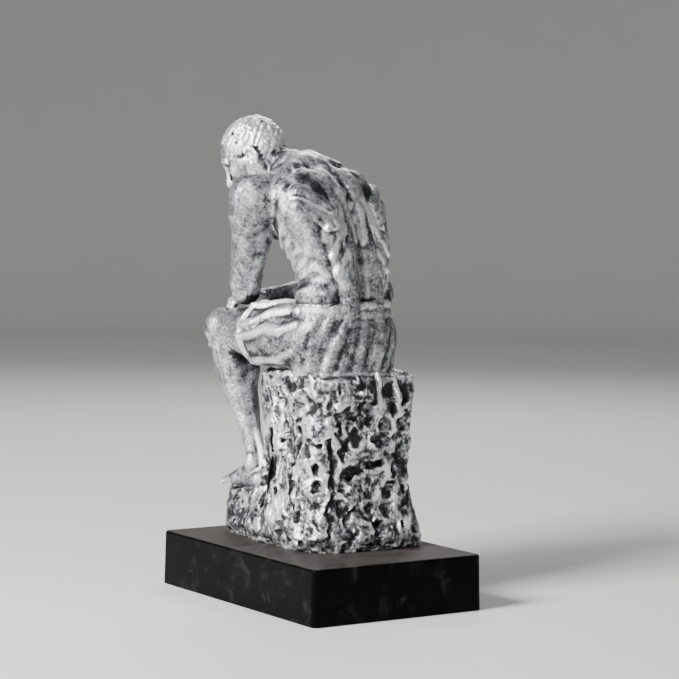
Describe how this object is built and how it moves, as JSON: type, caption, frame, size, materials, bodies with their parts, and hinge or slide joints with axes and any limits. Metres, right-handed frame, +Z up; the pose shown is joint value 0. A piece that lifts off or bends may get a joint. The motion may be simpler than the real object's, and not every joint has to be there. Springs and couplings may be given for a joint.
{
  "type": "seated figure statuette",
  "caption": "Statuette of a seated thinking figure in a short cloth wrap on a rough rock, in antique-silver resin, bolted to a black oblong plinth.",
  "frame": {"origin": "centre of the underside of the base, on the surface that it stands on", "axes": "+Z up; -Y to the front, where the figure's knees and feet are; +X to the figure's left"},
  "size_m": [0.1014, 0.1514, 0.2523],
  "materials": {
    "plinth_black_resin": "satin black paint, a little dusty on top",
    "felt": "dark pressed felt",
    "steel": "bright zinc-plated steel",
    "brass": "turned brass",
    "rock_silver_resin": "antique silver over black, rough cast rock",
    "figure_silver_resin": "antique silver over black, satin"
  },
  "bodies": {
    "root": {"plinth": "plinth_black_resin", "base_felt": "felt", "hold_down_screws": "steel", "screw_washers": "steel", "threaded_inserts": "brass", "rock_seat": "rock_silver_resin", "seat_dowels": "steel", "torso": "figure_silver_resin", "left_leg": "figure_silver_resin", "right_leg": "figure_silver_resin", "hip_dowels": "steel", "neck_dowel": "steel", "shoulder_dowels": "steel", "head": "figure_silver_resin", "left_arm": "figure_silver_resin", "right_arm": "figure_silver_resin"}
  },
  "joints": []
}
